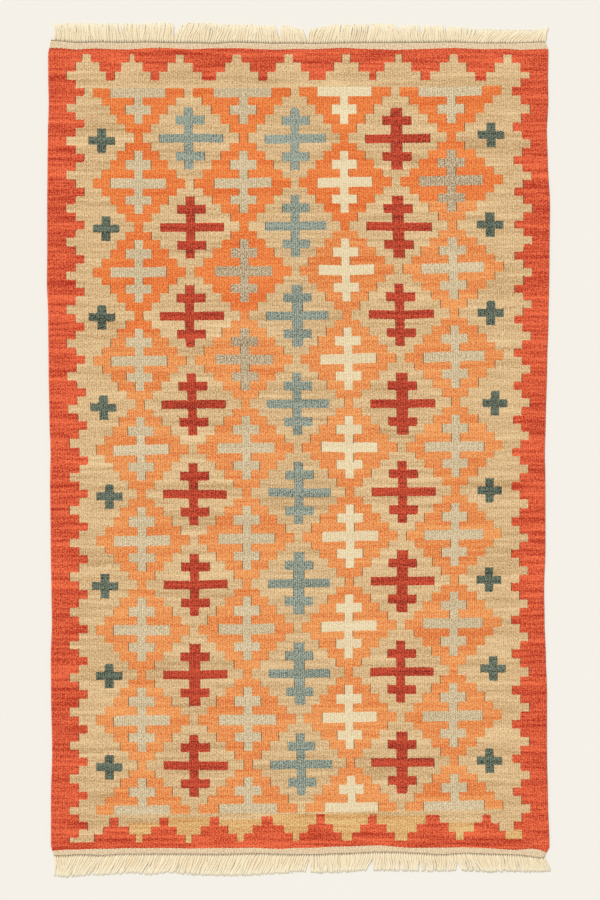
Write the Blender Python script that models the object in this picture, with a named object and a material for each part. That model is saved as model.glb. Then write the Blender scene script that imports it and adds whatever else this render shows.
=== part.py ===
"""A flat-woven kilim rug, laid out flat, as a weaver would name its pieces.

rug_cloth                   the one woven cloth: its patterned body and the plain woven band at each end
twined_row_head, _foot      the grey yarn twined across the warps to lock each end
fringe_head, fringe_foot    the cut warp ends, fused at their roots into a narrow strip

Units are metres and +Z is up. The underside is at Z = 0, the width runs along X and the length along Y, with
the head at +Y. The origin is in the middle of the outline, fringes included.

"Out" is the distance past the nominal end of the patterned body, away from the middle of the rug.
"""

from collections import namedtuple
import math
import random

import bmesh
import bpy
from mathutils import Vector

MM = 0.001

# The cloth
HALF_BODY = 801.4 * MM  # middle of the rug to the nominal end of its patterned body
CLOTH_THICK = 3.0 * MM
EDGE_ROUNDING = 1.0 * MM
EDGE_SEGMENTS = 2
SELVEDGE_PITCH = 26.0 * MM  # between outline points along the sides
END_STATIONS = 108  # outline points across each end

# The twined locking rows
PIECE_GAP = 0.3 * MM
TWINE_RADIUS = 1.3 * MM

# The fringes
STRIP_WIDTH = 1.6 * MM
STRIP_HEIGHT = 2.4 * MM
STRAND_COUNT = 136  # at each end
STRAND_WIDTH = 4.2 * MM
STRAND_STATIONS = 3
STRAND_TIP_WIDTH = 0.68  # share of the width at the root
STRAND_TIP_HEIGHT = 0.62  # share of the height at the root
STRAND_BOW = 1.2  # over 1, a strand leaves its root straight and leans more towards its tip
STRAND_SWAY = 0.7 * MM
TIP_SCATTER = 1.4 * MM
LEAST_TIP_GAP = 0.9 * MM  # between neighbours, measured square to them
SEED = 11

# Where the two selvedges run: distance along the rug from its middle, then left and right edge (mm).
SelvedgeRow = namedtuple("SelvedgeRow", "along left right")
SELVEDGES = [
    SelvedgeRow(800, -503.5, 499.5),
    SelvedgeRow(740, -503.3, 498.6),
    SelvedgeRow(690, -502.1, 499.4),
    SelvedgeRow(642, -503.8, 496.2),
    SelvedgeRow(570, -504.7, 498.4),
    SelvedgeRow(490, -505.4, 502.6),
    SelvedgeRow(390, -505.3, 501.6),
    SelvedgeRow(330, -506.0, 501.0),
    SelvedgeRow(270, -503.4, 499.8),
    SelvedgeRow(160, -502.5, 496.8),
    SelvedgeRow(60, -500.9, 494.2),
    SelvedgeRow(-10, -498.6, 492.2),
    SelvedgeRow(-60, -499.6, 493.4),
    SelvedgeRow(-200, -498.4, 493.6),
    SelvedgeRow(-280, -497.0, 490.8),
    SelvedgeRow(-350, -495.9, 491.8),
    SelvedgeRow(-420, -498.3, 494.4),
    SelvedgeRow(-490, -497.6, 496.7),
    SelvedgeRow(-610, -495.5, 496.6),
    SelvedgeRow(-700, -497.9, 498.4),
    SelvedgeRow(-800, -497.9, 501.6),
]

# How far out the plain woven end band reaches (mm), across the rug from its middle.
BandRow = namedtuple("BandRow", "across out")
HEAD_BAND = [
    BandRow(-500, 16.0),
    BandRow(-482, 15.3),
    BandRow(-443, 11.9),
    BandRow(-407, 13.0),
    BandRow(-342, 12.3),
    BandRow(-298, 13.1),
    BandRow(-262, 11.7),
    BandRow(-214, 11.3),
    BandRow(-174, 10.4),
    BandRow(-126, 12.7),
    BandRow(-90, 11.6),
    BandRow(-46, 10.4),
    BandRow(-5, 11.0),
    BandRow(27, 10.1),
    BandRow(87, 11.3),
    BandRow(123, 11.7),
    BandRow(187, 11.7),
    BandRow(251, 12.3),
    BandRow(307, 13.1),
    BandRow(364, 11.1),
    BandRow(412, 11.1),
    BandRow(444, 11.7),
    BandRow(492, 13.1),
]
FOOT_BAND = [
    BandRow(-490, 14.9),
    BandRow(-471, 14.7),
    BandRow(-439, 12.7),
    BandRow(-398, 14.6),
    BandRow(-355, 11.7),
    BandRow(-278, 11.5),
    BandRow(-230, 11.7),
    BandRow(-166, 12.1),
    BandRow(-86, 10.7),
    BandRow(-38, 11.7),
    BandRow(-13, 12.7),
    BandRow(35, 12.7),
    BandRow(75, 10.9),
    BandRow(163, 7.7),
    BandRow(203, 8.1),
    BandRow(227, 9.7),
    BandRow(283, 12.7),
    BandRow(331, 10.1),
    BandRow(380, 11.7),
    BandRow(434, 13.5),
    BandRow(491, 19.5),
]

# The four corners (mm): where the selvedge stops, the shoulder where the narrower band starts, and the
# band's own corner.
Corner = namedtuple("Corner", "selvedge_out shoulder_across shoulder_out band_across")
HEAD_LEFT = Corner(-3.0, -501.0, 1.0, -498.5)
HEAD_RIGHT = Corner(-3.0, 499.0, 1.0, 493.0)
FOOT_LEFT = Corner(1.0, -492.5, 10.0, -490.5)
FOOT_RIGHT = Corner(1.0, 492.5, 13.0, 491.0)

# How the fringes lie: distance across the rug, how far out the strands' tips reach (mm), and how far the
# strands lean towards the right (degrees).
FringeRow = namedtuple("FringeRow", "across tip_out lean")
HEAD_FRINGE = [
    FringeRow(-492, 51, -6),
    FringeRow(-450, 53, -10),
    FringeRow(-400, 52, -6),
    FringeRow(-340, 51, -3),
    FringeRow(-300, 52, 6),
    FringeRow(-268, 54, 12),
    FringeRow(-250, 45, 16),
    FringeRow(-225, 54, 14),
    FringeRow(-180, 52, 12),
    FringeRow(-150, 50, 20),
    FringeRow(-110, 49, 8),
    FringeRow(-80, 48, -8),
    FringeRow(-45, 47, -10),
    FringeRow(-20, 47, -4),
    FringeRow(5, 41, -22),
    FringeRow(30, 44, 20),
    FringeRow(60, 50, 18),
    FringeRow(100, 49, 12),
    FringeRow(150, 51, 12),
    FringeRow(185, 50, -6),
    FringeRow(205, 48, -20),
    FringeRow(240, 48, -12),
    FringeRow(275, 47, 4),
    FringeRow(318, 44, -8),
    FringeRow(342, 41, 32),
    FringeRow(368, 39, 45),
    FringeRow(405, 39, 45),
    FringeRow(492, 42, 4),
]
FOOT_FRINGE = [
    FringeRow(-488, 57, -6),
    FringeRow(-450, 59, -26),
    FringeRow(-400, 55, -28),
    FringeRow(-350, 53, -30),
    FringeRow(-318, 50, -24),
    FringeRow(-285, 55, -22),
    FringeRow(-248, 49, -28),
    FringeRow(-215, 54, -14),
    FringeRow(-160, 56, -20),
    FringeRow(-100, 56, -24),
    FringeRow(-60, 54, -22),
    FringeRow(-20, 51, -20),
    FringeRow(12, 48, -14),
    FringeRow(40, 51, 2),
    FringeRow(75, 50, 0),
    FringeRow(140, 45, -8),
    FringeRow(200, 47, 0),
    FringeRow(270, 48, 5),
    FringeRow(312, 46, 2),
    FringeRow(335, 47, 26),
    FringeRow(370, 49, 22),
    FringeRow(400, 48, 6),
    FringeRow(430, 48, 18),
    FringeRow(470, 49, 28),
    FringeRow(491, 47, 38),
]

# One end of the rug: its name, the way out along Y, its tables and its two corners.
End = namedtuple("End", "name way band fringe left right")
HEAD = End("head", 1, HEAD_BAND, HEAD_FRINGE, HEAD_LEFT, HEAD_RIGHT)
FOOT = End("foot", -1, FOOT_BAND, FOOT_FRINGE, FOOT_LEFT, FOOT_RIGHT)

# Finishes: base colour, roughness
WOOL = ((0.62, 0.26, 0.12, 1.0), 0.95)
GREY_YARN = ((0.30, 0.27, 0.22, 1.0), 0.9)
WARP_YARN = ((0.86, 0.76, 0.55, 1.0), 0.9)


def eased(rows, place, value, at):
    """The value column of a table at a place in metres, easing from each row to the next."""
    at_mm = at / MM
    ordered = sorted(rows, key=lambda row: getattr(row, place))
    if at_mm <= getattr(ordered[0], place):
        return getattr(ordered[0], value)
    for low, high in zip(ordered[:-1], ordered[1:]):
        start = getattr(low, place)
        stop = getattr(high, place)
        if at_mm <= stop:
            share = 0.5 - 0.5 * math.cos(math.pi * (at_mm - start) / (stop - start))
            return getattr(low, value) + share * (getattr(high, value) - getattr(low, value))
    return getattr(ordered[-1], value)


def spread(start, stop, count):
    """Evenly spaced numbers, both ends included."""
    return [start + (stop - start) * i / (count - 1) for i in range(count)]


def band_out(end, across):
    """How far out the end band reaches at a place across the rug."""
    return eased(end.band, "across", "out", across) * MM


def placed(end, across, out, height=0.0):
    """A point of one end: across the rug, out past the nominal end of the body, and up."""
    return Vector((across, end.way * (HALF_BODY + out), height))


def band_edge(end):
    """The outer edge of an end band, from left to right."""
    across = spread(end.left.band_across * MM, end.right.band_across * MM, END_STATIONS)
    return [placed(end, x, band_out(end, x)) for x in across]


def corner(end, side):
    """The shoulder and the end of the selvedge, from the band outwards."""
    spot = end.left if side == "left" else end.right
    shoulder = placed(end, spot.shoulder_across * MM, spot.shoulder_out * MM)
    along = end.way * (HALF_BODY + spot.selvedge_out * MM)
    edge = eased(SELVEDGES, "along", side, along) * MM
    return [shoulder, Vector((edge, along, 0.0))]


def selvedge(side):
    """One long side between its two corners, from the head to the foot."""
    start = corner(HEAD, side)[-1].y
    stop = corner(FOOT, side)[-1].y
    count = round((start - stop) / SELVEDGE_PITCH)
    return [Vector((eased(SELVEDGES, "along", side, y) * MM, y, 0.0)) for y in spread(start, stop, count)[1:-1]]


def cloth_outline():
    """The whole cloth seen from above, once round."""
    points = band_edge(HEAD)
    points += corner(HEAD, "right")
    points += selvedge("right")
    points += reversed(corner(FOOT, "right"))
    points += reversed(band_edge(FOOT))
    points += corner(FOOT, "left")
    points += reversed(selvedge("left"))
    points += reversed(corner(HEAD, "left"))
    return points


def finish_mesh(bm, name, finish):
    """Turn a bmesh into a named object with its own material."""
    bmesh.ops.recalc_face_normals(bm, faces=bm.faces)
    mesh = bpy.data.meshes.new(name)
    bm.to_mesh(mesh)
    bm.free()
    thing = bpy.data.objects.new(name, mesh)
    bpy.context.collection.objects.link(thing)
    dress(thing, name, finish)
    return thing


def dress(thing, name, finish):
    """Give an object its own Principled material."""
    colour, roughness = finish
    material = bpy.data.materials.new(name)
    material.use_nodes = True
    shader = material.node_tree.nodes["Principled BSDF"]
    shader.inputs["Base Color"].default_value = colour
    shader.inputs["Roughness"].default_value = roughness
    thing.data.materials.append(material)


def make_cloth():
    """The woven cloth: its uneven outline, drawn up to its thickness, with its upper edge rounded."""
    bm = bmesh.new()
    floor_face = bm.faces.new([bm.verts.new(point) for point in cloth_outline()])
    drawn = bmesh.ops.extrude_face_region(bm, geom=[floor_face])
    top = [item for item in drawn["geom"] if isinstance(item, bmesh.types.BMVert)]
    bmesh.ops.translate(bm, verts=top, vec=(0.0, 0.0, CLOTH_THICK))
    rim = [item for item in drawn["geom"] if isinstance(item, bmesh.types.BMEdge)]
    bmesh.ops.bevel(bm, geom=rim, offset=EDGE_ROUNDING, segments=EDGE_SEGMENTS, profile=0.5, affect="EDGES")
    return finish_mesh(bm, "rug_cloth", WOOL)


def twine_out(end, across):
    """How far out the middle of the twined row lies."""
    return band_out(end, across) + PIECE_GAP + TWINE_RADIUS


def make_twined_row(end):
    """The yarn twined across the warps, a cord laid along the edge of the end band."""
    line = bpy.data.curves.new("twined_row_" + end.name, "CURVE")
    line.dimensions = "3D"
    line.bevel_depth = TWINE_RADIUS
    line.bevel_resolution = 1
    line.use_fill_caps = True
    spline = line.splines.new("POLY")
    across = spread(end.left.band_across * MM, end.right.band_across * MM, END_STATIONS)
    spline.points.add(len(across) - 1)
    for point, x in zip(spline.points, across):
        point.co = (*placed(end, x, twine_out(end, x), TWINE_RADIUS), 1.0)
    row = bpy.data.objects.new(line.name, line)
    bpy.context.collection.objects.link(row)
    dress(row, line.name, GREY_YARN)
    return row


def strip_out(end, across):
    """How far out the inner side of the fringe's root strip lies."""
    return twine_out(end, across) + TWINE_RADIUS + PIECE_GAP


def strand_tips(end, roots, rng):
    """Where each strand's tip lies, across and out, kept in order so that no two strands cross."""
    tips = []
    width = 0.5 * STRAND_WIDTH * (1.0 + STRAND_TIP_WIDTH) + LEAST_TIP_GAP
    last_lean = 0.0
    for root in roots:
        out = eased(end.fringe, "across", "tip_out", root) * MM
        reach = out - strip_out(end, root) - STRIP_WIDTH
        lean = math.radians(eased(end.fringe, "across", "lean", root))
        across = root + reach * math.tan(lean) + rng.uniform(-TIP_SCATTER, TIP_SCATTER)
        if tips:
            across = max(across, tips[-1][0] + width / math.cos(max(abs(lean), last_lean)))
            last_lean = math.atan2(abs(across - root), reach)
        tips.append((across, out + rng.uniform(-TIP_SCATTER, TIP_SCATTER)))
    return tips


def strand_ring(bm, middle, side, share):
    """Four corners of a strand's section: it rests on the floor and thins towards its tip."""
    half = 0.5 * STRAND_WIDTH * (1.0 + share * (STRAND_TIP_WIDTH - 1.0))
    height = STRIP_HEIGHT * (1.0 + share * (STRAND_TIP_HEIGHT - 1.0))
    left = middle - side * half
    right = middle + side * half
    lift = Vector((0.0, 0.0, height))
    return [bm.verts.new(point) for point in (left, right, right + lift, left + lift)]


def grow_strand(bm, end, ring, root, tip, sway):
    """Carry the four corners left open in the strip out along the strand, and close its tip."""
    start = strip_out(end, root) + STRIP_WIDTH
    tip_across, tip_out = tip

    def middle(share):
        across = root + (tip_across - root) * share**STRAND_BOW + sway * math.sin(math.pi * share)
        return placed(end, across, start + (tip_out - start) * share)

    for station in range(1, STRAND_STATIONS + 1):
        share = station / STRAND_STATIONS
        run = middle(share) - middle(share - 1.0 / STRAND_STATIONS)
        side = Vector((abs(run.y), -end.way * run.x, 0.0)).normalized()
        following = strand_ring(bm, middle(share), side, share)
        for i in range(4):
            bm.faces.new([ring[i], ring[(i + 1) % 4], following[(i + 1) % 4], following[i]])
        ring = following
    bm.faces.new(ring)


def make_fringe(end):
    """The warp ends: a narrow strip along the twined row, with the strands growing out of it."""
    rng = random.Random(SEED + end.way)
    bm = bmesh.new()
    margin = 0.5 * STRAND_WIDTH + 0.5 * MM
    left = end.left.band_across * MM + margin
    right = end.right.band_across * MM - margin
    roots = spread(left, right, STRAND_COUNT)
    tips = strand_tips(end, roots, rng)

    cuts = [left - margin]
    for root in roots:
        cuts += [root - 0.5 * STRAND_WIDTH, root + 0.5 * STRAND_WIDTH]
    cuts.append(right + margin)

    rungs = []
    for x in cuts:
        inner = strip_out(end, x)
        outer = inner + STRIP_WIDTH
        spots = [(inner, 0.0), (inner, STRIP_HEIGHT), (outer, STRIP_HEIGHT), (outer, 0.0)]
        rungs.append([bm.verts.new(placed(end, x, out, height)) for out, height in spots])

    for i, (here, there) in enumerate(zip(rungs[:-1], rungs[1:])):
        bm.faces.new([here[0], here[1], there[1], there[0]])
        bm.faces.new([here[1], here[2], there[2], there[1]])
        bm.faces.new([here[3], here[0], there[0], there[3]])
        is_strand = i % 2 == 1
        if not is_strand:
            bm.faces.new([here[2], here[3], there[3], there[2]])
            continue
        strand = i // 2
        sway = rng.uniform(-STRAND_SWAY, STRAND_SWAY)
        ring = [here[3], there[3], there[2], here[2]]
        grow_strand(bm, end, ring, roots[strand], tips[strand], sway)
    bm.faces.new(rungs[0])
    bm.faces.new(rungs[-1])
    return finish_mesh(bm, "fringe_" + end.name, WARP_YARN)


def outline_middle(things):
    """The middle, seen from above, of the box that holds all the pieces."""
    spots = []
    for thing in things:
        spots += [thing.matrix_world @ Vector(place) for place in thing.bound_box]
    across = [spot.x for spot in spots]
    along = [spot.y for spot in spots]
    return Vector(((min(across) + max(across)) / 2, (min(along) + max(along)) / 2, 0.0))


def main():
    """Clear the scene, make every piece, and set the origin in the middle of them all."""
    for old in list(bpy.data.objects):
        bpy.data.objects.remove(old)
    pieces = [make_cloth()]
    for end in (HEAD, FOOT):
        pieces.append(make_twined_row(end))
        pieces.append(make_fringe(end))
    bpy.context.view_layer.update()
    middle = outline_middle(pieces)
    for piece in pieces:
        piece.location = -middle


main()
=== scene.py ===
"""Dresses the kilim rug: woven cloth, twined locking rows, fringes and a plain floor to lie on.

Rib: one warp with the wefts packed over it. The ribs run along the rug (Y), and are counted from
the left selvedge. Step: four ribs, the least width of a colour area. Row: the height of one step
of the pattern. Lengths in the tables are in millimetres, in the same frame as the CAD.
"""

import math
import random

import bpy
import numpy as np
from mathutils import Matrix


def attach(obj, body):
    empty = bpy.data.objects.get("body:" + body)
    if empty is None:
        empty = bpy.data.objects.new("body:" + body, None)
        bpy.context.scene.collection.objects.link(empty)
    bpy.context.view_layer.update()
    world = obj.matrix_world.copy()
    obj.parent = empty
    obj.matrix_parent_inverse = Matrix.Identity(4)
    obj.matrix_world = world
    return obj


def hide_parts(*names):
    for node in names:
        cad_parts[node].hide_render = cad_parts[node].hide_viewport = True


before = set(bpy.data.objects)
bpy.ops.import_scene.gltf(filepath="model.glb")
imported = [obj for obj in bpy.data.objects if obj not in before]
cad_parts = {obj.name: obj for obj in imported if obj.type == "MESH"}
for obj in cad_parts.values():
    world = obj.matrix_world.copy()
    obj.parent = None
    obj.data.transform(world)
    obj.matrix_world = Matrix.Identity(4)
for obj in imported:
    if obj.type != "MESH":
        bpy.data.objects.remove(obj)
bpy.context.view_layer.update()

bl_info = {
    "name": "Kilim rug",
    "version": (1, 0, 0),
    "blender": (4, 5, 0),
    "location": "3D View > Sidebar > Kilim",
    "description": "Weaves a flat kilim rug with its twined end rows and its fringes",
    "category": "Object",
}

MM = 0.001

# --- The loom: how many ribs there are, and where they run ---

RIBS = 229
STEP = 4
COLUMN_REPEAT = 48  # ribs from one orange column to the next
FIRST_ORANGE = 41  # the rib line in the middle of the first orange column
FIRST_CAMEL = 65
MESH_ROWS = 176
UNDERSIDE_LINES = [0, 4, 8, 12, 16, *range(19, 212, STEP), 213, 217, 221, 225, 229]
UNDERSIDE_ROWS = 2  # rows of the upper mesh to one row of the underside

ORANGE_ALONG = [533, 354, 177, -1, -183, -364, -545, -720]
ORANGE_ACROSS = [
    [-322.2, -321.8, -320.9, -317.4, -315.3, -316.2, -315.9, -314.5],
    [-111.3, -109.5, -108.5, -105.3, -104.6, -104.3, -102.0, -101.9],
    [89.9, 93.5, 98.5, 100.0, 102.3, 98.7, 99.7, 106.0],
    [305.4, 309.3, 314.0, 314.6, 312.6, 310.1, 308.7, 313.3],
]
CAMEL_ALONG = [624, 446, 268, 90, -90, -272, -454, -633]
CAMEL_ACROSS = [
    [-222.7, -217.8, -220.6, -214.5, -212.1, -209.5, -212.1, -211.0],
    [-8.5, -8.0, -5.4, -4.7, -0.2, -3.4, -1.8, 4.9],
    [192.0, 196.1, 201.7, 204.1, 207.7, 203.9, 203.1, 203.8],
]
# One rib line in each side border: its number, and where it lies as along and across
BORDER_LINES = {
    12: [(-302, -441.7), (-101, -440.9), (-1, -440.3), (99, -444.7), (220, -448.2)],
    217: [
        (-783, 447.3), (-703, 445.9), (-603, 443.9), (-402, 443.3), (-302, 441.3), (-21, 442.5),
        (39, 444.9), (99, 446.3), (220, 447.1), (300, 449.3), (400, 449.9), (500, 449.5),
        (601, 447.5), (681, 444.9), (769, 443.7),
    ],
}

# The middle of every fifth pattern row, at each orange and at each camel column in turn
FIFTH_ROWS = [
    (716.0, 716.5, 719.1, 718.2),
    (625.4, 623.9, 624.4),
    (533.3, 533.8, 536.0, 539.0),
    (446.5, 449.2, 447.9),
    (354.9, 357.2, 359.6, 364.3),
    (268.4, 269.0, 271.2),
    (177.5, 180.0, 182.0, 187.1),
    (91.7, 92.4, 93.1),
    (-1.4, 3.3, 4.5, 6.0),
    (-88.5, -86.1, -83.8),
    (-183.7, -178.7, -173.0, -171.3),
    (-270.5, -267.3, -262.8),
    (-362.4, -361.2, -353.2, -348.0),
    (-451.0, -448.7, -444.1),
    (-543.0, -542.4, -536.8, -534.8),
    (-633.1, -630.2, -626.4),
    (-723.8, -720.0, -718.2, -715.2),
]
ROWS = 5 * (len(FIFTH_ROWS) - 1)
# Ribs that each step of a diamond reaches out from its middle, and the same at the lattice's sides
STEPS = (2, 6, 10, 14, 18, 22)
OUTER_STEPS = ((2, 6, 10, 13, 17, 21), (2, 6, 11, 15, 19, 23))
# Where the rows meet, from the widest row of one diamond to that of the next one down
ROW_SHARES = (0.1035, 0.2775, 0.4775, 0.6865, 0.879)
RIGHT_CLIMB = 3.8  # how much the rows rise from the last column to the rib below
RIGHT_CLIMB_END = 209
# The weaver changed to a paler orange at these heights, one for each orange column
PALER_BELOW = (236, 276, 440, 500)
FIRST_ROW_HALF = 9.2
LAST_ROW_HALF = 7.6

# --- The pattern ---

# Where the patterned body ends and the plain band starts: across, out
HEAD_END = 804.4
FOOT_END = -798.4
BAND_WIDTH = 12
HEAD_WAVE = [
    (-487, 1.4), (-471, 1.0), (-447, -1.6), (-407, 0.7), (-342, -1.4), (-298, 2.2), (-262, 1.4),
    (-214, -0.6), (-174, 0.9), (-126, 1.4), (-90, -0.3), (-46, -1.5), (-5, -0.3), (27, -1.4),
    (87, 2.2), (123, -0.4), (187, -1.6), (251, -0.2), (307, 1.6), (364, -0.7), (412, 0.4),
    (444, -2.0), (492, 0.0),
]
FOOT_WAVE = [
    (-487, 5.4), (-471, 3.2), (-439, 2.8), (-391, 1.2), (-359, 0.1), (-278, -0.2), (-230, 0.4),
    (-166, 0.0), (-86, -0.4), (-38, 1.6), (-13, -0.2), (35, -0.6), (75, -3.0), (163, -5.2),
    (203, -2.0), (227, -0.8), (283, -0.8), (331, -1.2), (380, 0.2), (436, 3.4), (464, 1.0),
    (484, 3.0), (496, 8.0),
]

# The stepped border at the head: camel peaks, each as the ribs of its tip, middle and widest step
HEAD_STEPS = (792.9, 776.5, 758.2, 740.8)
HEAD_PEAKS = [
    (15, 19, 12, 23, 8, 26),
    (37, 39, 33, 43, 30, 47),
    (59, 63, 55, 67, 51, 71),
    (84, 88, 81, 92, 77, 96),
    (108, 112, 104, 116, 100, 120),
    (136, 140, 132, 144, 128, 149),
    (161, 164, 156, 168, 152, 172),
    (184, 188, 180, 192, 176, 196),
    (209, 213, 205, 217, 201, 221),
]
# The same at the foot, where the peaks are red
FOOT_STEPS = (-737.2, -755.3, -771.3, -787.4)
FOOT_PEAKS = [
    (26, 30, 23, 35, 19, 38),
    (49, 53, 45, 57, 41, 61),
    (72, 76, 68, 80, 64, 84),
    (95, 100, 91, 105, 87, 109),
    (120, 124, 116, 128, 112, 132),
    (145, 149, 141, 154, 137, 158),
    (172, 178, 168, 182, 164, 185),
    (198, 202, 194, 206, 189, 209),
]
FOOT_RISE = [(0, 0.0), (60, 0.0), (85, 2.5), (105, 3.5), (165, 4.0), (229, 9.0)]  # by rib
# Where the mustard ground behind the foot's peaks starts: first rib, height
MUSTARD = [
    (35, -748.0), (52, -737.0), (76, -741.0), (98, -730.2), (150, -733.0), (173, -747.3),
    (203, -763.3), (217, -1000.0),
]

# The stepped borders at the sides: the middle of each red tooth, from the head
LEFT_TEETH = [
    717, 654, 585, 517, 451, 382, 317, 246, 181, 115, 49, -22, -88, -154,
    -219, -290, -360, -423, -490, -561, -625, -694, -753, -819,
]
RIGHT_TEETH = [
    720, 648, 581, 518, 452, 390, 323, 262, 195, 129, 61, -4, -72, -144,
    -208, -275, -341, -408, -482, -550, -619, -685, -753, -819,
]
SIDE_STEPS = (8, 12, 16)  # ribs from the selvedge, at the left and at the right
TOOTH_SHARES = (3 / 8, 1 / 8)  # of the way to the next tooth that a tooth reaches, at each step
TOOTH_PITCH = 67

# The small crosses: middle rib, height
CROSSES = [
    (24, 620), (26, 444), (24, 266), (24, 85), (26, -93), (24, -273), (26, -453), (26, -636),
    (203, 632), (202, 452), (202, 275), (204, 94), (202, -81), (202, -260), (204, -438),
    (202, -623),
]
CROSS_HALF = 24.6
CROSS_ARM_HALF = 8.1
CROSS_REACH = 6  # ribs
CROSS_WAIST = 2

# A comb's upright, two short bars and one long bar: ribs to the left and right of its middle
LIGHT_COMB = {"upright": (2, 2), "short": (6, 6), "long": (13, 13)}
WIDE_COMB = {"upright": (2, 2), "short": (6, 6), "long": (14, 14)}
COLOURED_COMB = {"upright": (2, 2), "short": (6, 7), "long": (14, 15)}
COMB_HEIGHTS = (8.7, 27.1, 45.1, 62.2)  # of a coloured comb, out from its middle
COMB_HALF = 14  # ribs
UPRIGHT_RIGHTS = (2, 2, 3)  # a coloured comb's upright is often one rib wider
COMB_TILT = 1.3
COMB_BOW = 1.4

# --- The wool ---

# Each dye: the colours its wefts range between, how streaked and grainy it looks, and how much
# painted shade it has in the grooves between ribs and between wefts
DYES = {
    "band": ("#C6A079", "#FFEDC8", 0.1, 0.75, 0.55),
    "red": ("#A41A00", "#FF7749", 1.2, 1.15, 0.6),
    "camel": ("#A97F4A", "#FEDDAA", 0.52, 0.67, 0.5),
    "orange": ("#D0530E", "#FFBA71", 0.5, 0.8, 0.65),
    "bright_orange": ("#D14400", "#FFA257", 0.4, 0.88, 0.7),
    "grey_beige": ("#9E8761", "#FAE5BD", 0.2, 0.75, 0.6),
    "mottled": ("#7B6647", "#EAD2AD", 0.3, 1.1, 0.7),
    "ivory": ("#D4B589", "#FFF3CB", 0.25, 0.75, 0.55),
    "motif_red": ("#700000", "#E65B38", 0.8, 1.2, 0.7),
    "blue_grey": ("#475445", "#B9C2B1", 0.45, 1.05, 0.95),
    "teal": ("#001400", "#838E7A", 0.6, 1.4, 0.8),
    "mustard": ("#BC7332", "#F7D491", 0.7, 0.8, 0.55),
}
DYE_NAMES = list(DYES)

VALLEY_HEIGHT = 2.2
SLIT_HEIGHT = 1.1
RIM_HEIGHT = 1.5
RIM_INSET = 0.7
END_ROLL = 1.4  # how far in from each end the cloth is down to its rim

# --- The fringes ---

# Across, how far out from the patterned body the tips reach, and their lean to the right in degrees
HEAD_FRINGE = [
    (-491, 51, 5), (-465, 52, -4), (-450, 53, -8), (-400, 52, -6), (-340, 51, -3), (-300, 52, 6),
    (-268, 54, 10), (-250, 47, 14), (-225, 54, 14), (-180, 52, 12), (-150, 50, 18), (-110, 49, 8),
    (-80, 48, -8), (-45, 47, -10), (-20, 47, -4), (5, 41, -16), (30, 44, 18), (60, 50, 18),
    (100, 49, 12), (150, 51, 12), (185, 50, -6), (205, 48, -18), (240, 48, -12), (275, 47, 4),
    (318, 44, -8), (342, 41, 30), (368, 39, 44), (405, 38, 50), (455, 39, 46), (478, 41, 24),
    (491, 42, 8),
]
FOOT_FRINGE = [
    (-489, 57, 2), (-465, 58, -12), (-450, 59, -24), (-400, 55, -28), (-350, 53, -30),
    (-318, 50, -24), (-285, 55, -22), (-248, 49, -28), (-215, 54, -14), (-160, 56, -20),
    (-100, 56, -24), (-60, 54, -22), (-20, 51, -20), (12, 48, -14), (40, 51, 2), (75, 50, 0),
    (140, 45, -8), (200, 47, 0), (270, 48, 5), (312, 46, 2), (335, 47, 26), (370, 49, 22),
    (400, 48, 6), (430, 48, 18), (470, 48, 24), (491, 46, 28),
]

# Where the tips of a fringe part and show the floor: the middle and the half width
HEAD_PARTINGS = [(-245, 6), (-162, 4), (-41, 8), (15, 9), (88, 3), (198, 7), (243, 4), (295, 4)]
FOOT_PARTINGS = [(-253, 3), (17, 6), (141, 8), (242, 3), (319, 7)]

SEED = 4


def linear(code):
    """An sRGB hex colour as the linear values that Blender's sockets and properties take."""
    parts = [int(code[i : i + 2], 16) / 255 for i in (1, 3, 5)]
    return tuple(p / 12.92 if p <= 0.04045 else ((p + 0.055) / 1.055) ** 2.4 for p in parts)


# --- Sizes and colours that a user may change ---


def length(name, description, default):
    """A length in the panel, given in millimetres."""
    limits = {"default": default * MM, "min": 0.0, "precision": 4}
    return bpy.props.FloatProperty(name=name, description=description, unit="LENGTH", **limits)


def colour(name, description, code):
    """A colour in the panel."""
    limits = {"default": linear(code), "size": 3, "min": 0.0, "max": 1.0}
    return bpy.props.FloatVectorProperty(
        name=name, description=description, subtype="COLOR", **limits
    )


class KilimSizes(bpy.types.PropertyGroup):
    """Sizes of the weave and of the yarns."""

    rib_height: length("Rib height", "Height of the ribs' crests above the floor", 3.0)
    weft_pitch: length("Weft pitch", "From one weft to the next; the real ones lie closer", 3.6)
    twine_ply: length("Twine ply", "Radius of one ply of the grey twine", 0.75)
    strand_radius: length("Strand radius", "Radius of a fringe strand near its root", 2.0)
    strand_count: bpy.props.IntProperty(
        name="Strands", description="Fringe strands at each end", default=208, min=2, max=400
    )


class KilimColours(bpy.types.PropertyGroup):
    """Colours of the undyed yarns and of the floor. Those of the dyed wool are in DYES."""

    twine: colour("Twine", "The grey yarn twined across the ends", "#A5947A")
    fringe_deep: colour("Fringe, deep", "The fringe yarn where it is yellowed", "#EED4A6")
    fringe_pale: colour("Fringe, pale", "The fringe yarn where it is palest", "#FDF1D2")
    # Painted shadow: the dark given to the inside of the slits, which lie in shade
    slit: colour("Slit", "The shade inside the slits between colours", "#4A3626")
    floor: colour("Floor", "The plain floor", "#F5F1E8")


# --- Materials ---


def add(tree, kind, inputs=(), **settings):
    """A node with its settings, and its inputs: each a socket, a node's first output or a value."""
    node = tree.nodes.new(kind)
    for name, value in settings.items():
        setattr(node, name, value)
    for key, value in inputs.items() if isinstance(inputs, dict) else enumerate(inputs):
        if isinstance(value, bpy.types.Node):
            value = value.outputs[0]
        if isinstance(value, bpy.types.NodeSocket):
            tree.links.new(value, node.inputs[key])
        else:
            node.inputs[key].default_value = value
    return node


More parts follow.
